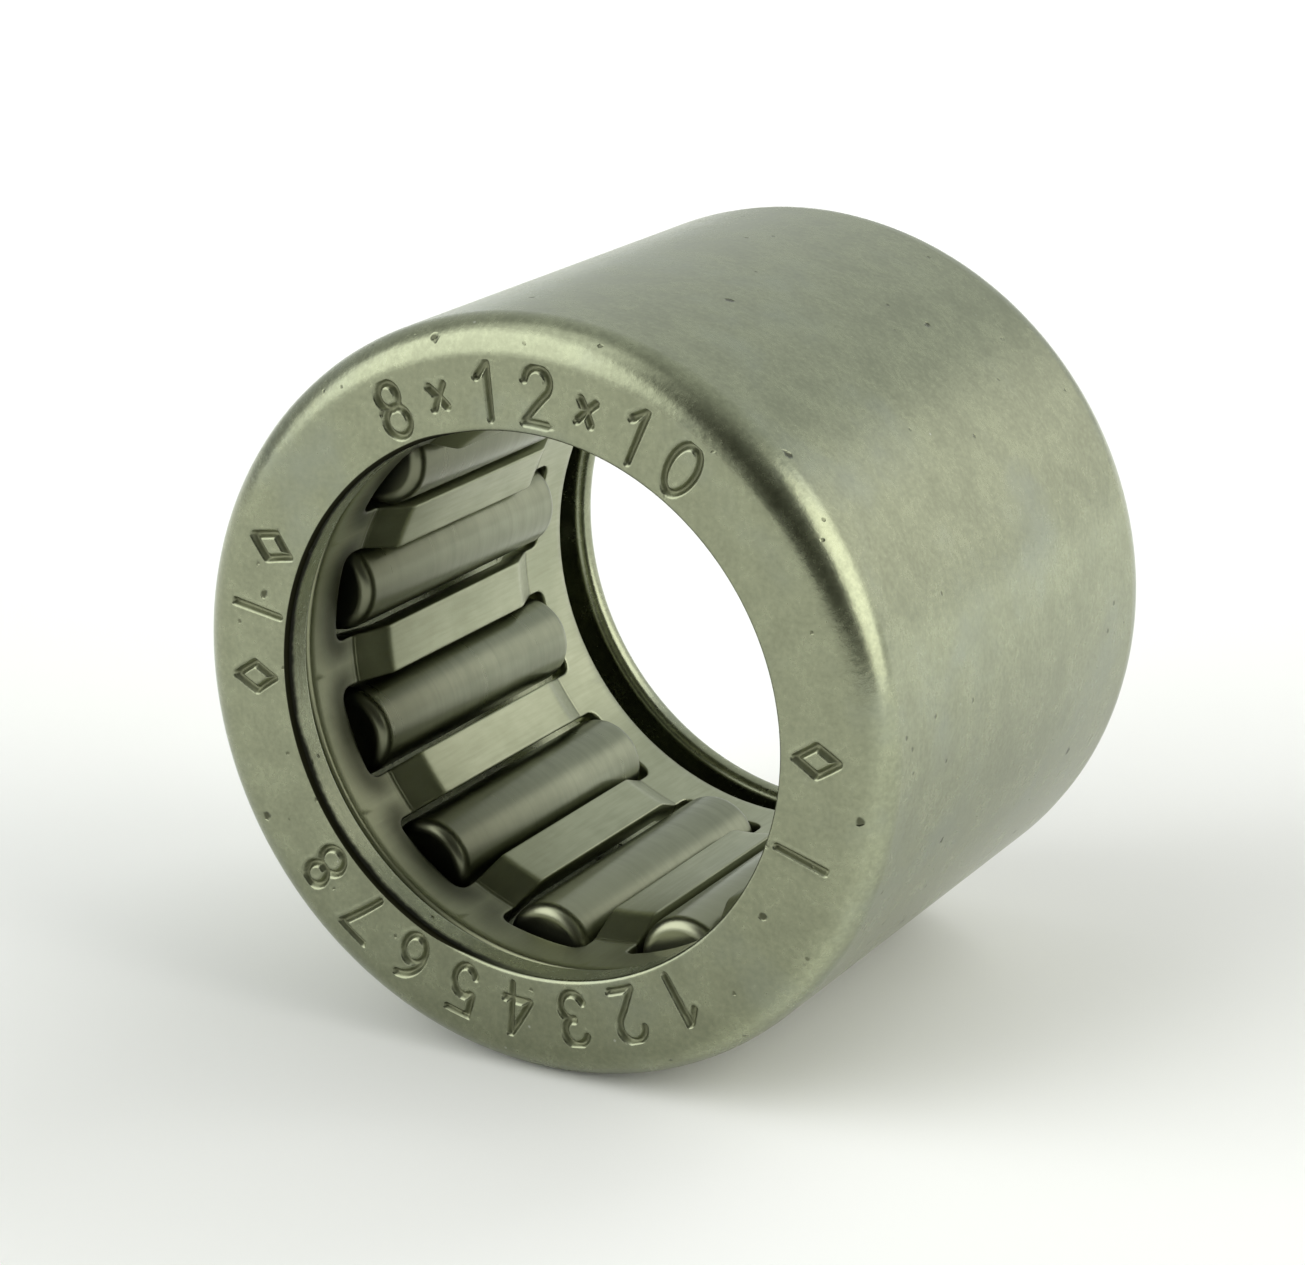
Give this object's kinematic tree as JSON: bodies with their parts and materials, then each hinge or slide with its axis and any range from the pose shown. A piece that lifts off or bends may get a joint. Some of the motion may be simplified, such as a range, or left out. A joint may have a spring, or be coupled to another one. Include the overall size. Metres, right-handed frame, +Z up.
{
  "type": "needle roller bearing",
  "caption": "Drawn-cup needle roller bearing with open ends: a thin steel cup, a bent sheet cage and needles that roll round a shaft.",
  "frame": {"origin": "centre of the bearing's width, on the bearing axis", "axes": "+Y along the bearing axis, towards the rolled lip; the drawn, stamped end faces -Y; +Z up, the cup lying on its side"},
  "size_m": [0.012, 0.01, 0.012],
  "materials": {
    "cup_steel": "drawn and hardened sheet, satin, faintly greenish grey, stamped on its drawn end",
    "cage_steel": "pressed strip, satin, with fine scratches along the bars",
    "needle_steel": "hardened and ground, semi-gloss, a darker grey"
  },
  "bodies": {
    "cup": {"cup": "cup_steel"},
    "cage": {"cage": "cage_steel"},
    "needle_01": {"needle_01": "needle_steel"},
    "needle_02": {"needle_02": "needle_steel"},
    "needle_03": {"needle_03": "needle_steel"},
    "needle_04": {"needle_04": "needle_steel"},
    "needle_05": {"needle_05": "needle_steel"},
    "needle_06": {"needle_06": "needle_steel"},
    "needle_07": {"needle_07": "needle_steel"},
    "needle_08": {"needle_08": "needle_steel"},
    "needle_09": {"needle_09": "needle_steel"},
    "needle_10": {"needle_10": "needle_steel"},
    "needle_11": {"needle_11": "needle_steel"},
    "needle_12": {"needle_12": "needle_steel"}
  },
  "joints": [
    {"name": "cage_spin", "type": "hinge", "parent": "cup", "child": "cage", "pos_m": [0, 0, 0], "axis": [0, 1, 0], "continuous": true},
    {"name": "needle_01_spin", "type": "hinge", "parent": "cage", "child": "needle_01", "pos_m": [0.00443, 0, 0.0017], "axis": [0, 1, 0], "continuous": true},
    {"name": "needle_02_spin", "type": "hinge", "parent": "cage", "child": "needle_02", "pos_m": [0.00299, 0, 0.00369], "axis": [0, 1, 0], "continuous": true},
    {"name": "needle_03_spin", "type": "hinge", "parent": "cage", "child": "needle_03", "pos_m": [0.00074, 0, 0.00469], "axis": [0, 1, 0], "continuous": true},
    {"name": "needle_04_spin", "type": "hinge", "parent": "cage", "child": "needle_04", "pos_m": [-0.0017, 0, 0.00443], "axis": [0, 1, 0], "continuous": true},
    {"name": "needle_05_spin", "type": "hinge", "parent": "cage", "child": "needle_05", "pos_m": [-0.00369, 0, 0.00299], "axis": [0, 1, 0], "continuous": true},
    {"name": "needle_06_spin", "type": "hinge", "parent": "cage", "child": "needle_06", "pos_m": [-0.00469, 0, 0.00074], "axis": [0, 1, 0], "continuous": true},
    {"name": "needle_07_spin", "type": "hinge", "parent": "cage", "child": "needle_07", "pos_m": [-0.00443, 0, -0.0017], "axis": [0, 1, 0], "continuous": true},
    {"name": "needle_08_spin", "type": "hinge", "parent": "cage", "child": "needle_08", "pos_m": [-0.00299, 0, -0.00369], "axis": [0, 1, 0], "continuous": true},
    {"name": "needle_09_spin", "type": "hinge", "parent": "cage", "child": "needle_09", "pos_m": [-0.00074, 0, -0.00469], "axis": [0, 1, 0], "continuous": true},
    {"name": "needle_10_spin", "type": "hinge", "parent": "cage", "child": "needle_10", "pos_m": [0.0017, 0, -0.00443], "axis": [0, 1, 0], "continuous": true},
    {"name": "needle_11_spin", "type": "hinge", "parent": "cage", "child": "needle_11", "pos_m": [0.00369, 0, -0.00299], "axis": [0, 1, 0], "continuous": true},
    {"name": "needle_12_spin", "type": "hinge", "parent": "cage", "child": "needle_12", "pos_m": [0.00469, 0, -0.00074], "axis": [0, 1, 0], "continuous": true}
  ],
  "couplings": [
    {"joint": "needle_01_spin", "follows": "cage_spin", "ratio": -7.36},
    {"joint": "needle_02_spin", "follows": "cage_spin", "ratio": -7.36},
    {"joint": "needle_03_spin", "follows": "cage_spin", "ratio": -7.36},
    {"joint": "needle_04_spin", "follows": "cage_spin", "ratio": -7.36},
    {"joint": "needle_05_spin", "follows": "cage_spin", "ratio": -7.36},
    {"joint": "needle_06_spin", "follows": "cage_spin", "ratio": -7.36},
    {"joint": "needle_07_spin", "follows": "cage_spin", "ratio": -7.36},
    {"joint": "needle_08_spin", "follows": "cage_spin", "ratio": -7.36},
    {"joint": "needle_09_spin", "follows": "cage_spin", "ratio": -7.36},
    {"joint": "needle_10_spin", "follows": "cage_spin", "ratio": -7.36},
    {"joint": "needle_11_spin", "follows": "cage_spin", "ratio": -7.36},
    {"joint": "needle_12_spin", "follows": "cage_spin", "ratio": -7.36}
  ]
}
